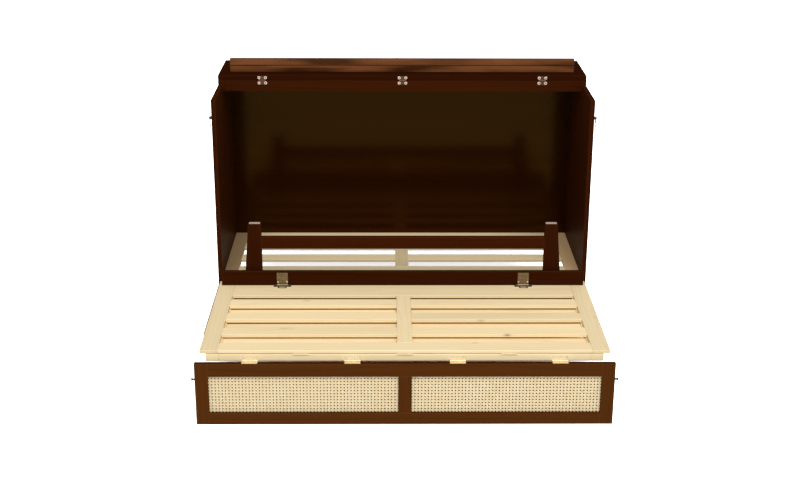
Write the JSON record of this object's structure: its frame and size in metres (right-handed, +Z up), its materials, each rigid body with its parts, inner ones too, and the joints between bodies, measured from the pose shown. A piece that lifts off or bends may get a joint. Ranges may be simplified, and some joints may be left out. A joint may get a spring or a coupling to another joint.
{
  "type": "cabinet bed",
  "caption": "Wooden cabinet bed: side panels, lid folded back, slatted door lowered onto a cane-panelled leg, and a slatted foot section folded on it with its legs up.",
  "frame": {"origin": "centre of the whole footprint on the floor, with the door lowered", "axes": "+X along the width, +Y towards the cabinet's back, +Z up"},
  "size_m": [1.666, 1.461, 1.203],
  "materials": {
    "dark_wood": "satin dark walnut stain",
    "pine": "bare sanded softwood",
    "cane": "woven cane strands",
    "hinge_metal": "satin",
    "latch_metal": "aged",
    "glide_plastic": "matt",
    "bumper_felt": "felt"
  },
  "bodies": {
    "cabinet": {"left_side_panel": "dark_wood", "right_side_panel": "dark_wood", "back_panel": "dark_wood", "fixed_top": "dark_wood", "top_front_rail": "dark_wood", "base_board": "dark_wood", "deck_back_rail": "pine", "deck_cleats": "pine", "deck_centre_bearer": "pine", "deck_left_stile": "pine", "deck_right_stile": "pine", "deck_front_board": "pine", "deck_rear_board": "pine", "deck_centre_stile": "pine", "deck_slats": "pine", "lid_hinge_fixed_leaves": "hinge_metal", "door_hinge_fixed_leaves": "hinge_metal", "latch_posts": "latch_metal"},
    "lid": {"lid_board": "dark_wood", "lid_rail_lower_strip": "dark_wood", "lid_rail_upper_strip": "dark_wood", "lid_hinge_moving_leaves": "hinge_metal"},
    "door": {"door_skin": "dark_wood", "door_left_rail": "pine", "door_right_rail": "pine", "door_end_rail": "pine", "door_pivot_rail": "pine", "door_centre_rail": "pine", "door_slats": "pine", "fold_bumpers": "bumper_felt", "door_hinge_moving_leaves": "hinge_metal", "panel_hinge_fixed_leaves": "hinge_metal", "fold_hinge_fixed_leaves": "hinge_metal"},
    "cane_panel": {"panel_top_rail": "dark_wood", "panel_bottom_rail": "dark_wood", "panel_left_stile": "dark_wood", "panel_right_stile": "dark_wood", "panel_centre_stile": "dark_wood", "left_webbing": "cane", "right_webbing": "cane", "webbing_strips": "dark_wood", "panel_hinge_moving_leaves": "hinge_metal", "strike_studs": "latch_metal"},
    "foot_section": {"foot_left_stile": "pine", "foot_right_stile": "pine", "foot_front_board": "pine", "foot_rear_board": "pine", "foot_centre_stile": "pine", "foot_slats": "pine", "fold_hinge_moving_leaves": "hinge_metal", "leg_hinge_lower_leaves": "hinge_metal"},
    "leg_frame": {"leg_rail": "dark_wood", "left_leg": "dark_wood", "right_leg": "dark_wood", "leg_crossbar": "dark_wood", "leg_glides": "glide_plastic", "leg_hinge_upper_leaves": "hinge_metal"},
    "left_hook": {"left_hook": "latch_metal"},
    "right_hook": {"right_hook": "latch_metal"}
  },
  "joints": [
    {"name": "lid_hinge", "type": "hinge", "parent": "cabinet", "child": "lid", "pos_m": [0, 0.39855, 1.1198], "axis": [-1, 0, 0], "range_deg": [-180, 0]},
    {"name": "door_hinge", "type": "hinge", "parent": "cabinet", "child": "door", "pos_m": [0, 0.12005, 0.262], "axis": [-1, 0, 0], "range_deg": [0, 90]},
    {"name": "cane_panel_hinge", "type": "hinge", "parent": "door", "child": "cane_panel", "pos_m": [0, -0.70825, 0.2648], "axis": [1, 0, 0], "range_deg": [0, 90]},
    {"name": "foot_fold", "type": "hinge", "parent": "door", "child": "foot_section", "pos_m": [0, -0.70825, 0.293], "axis": [1, 0, 0], "range_deg": [0, 180]},
    {"name": "leg_fold", "type": "hinge", "parent": "foot_section", "child": "leg_frame", "pos_m": [0, -0.02675, 0.3113], "axis": [1, 0, 0], "range_deg": [0, 90]},
    {"name": "left_hook_pivot", "type": "hinge", "parent": "cabinet", "child": "left_hook", "pos_m": [-0.8278, 0.13655, 1.0175], "axis": [-1, 0, 0], "range_deg": [0, 90]},
    {"name": "right_hook_pivot", "type": "hinge", "parent": "cabinet", "child": "right_hook", "pos_m": [0.8278, 0.13655, 1.0175], "axis": [-1, 0, 0], "range_deg": [0, 90]}
  ]
}
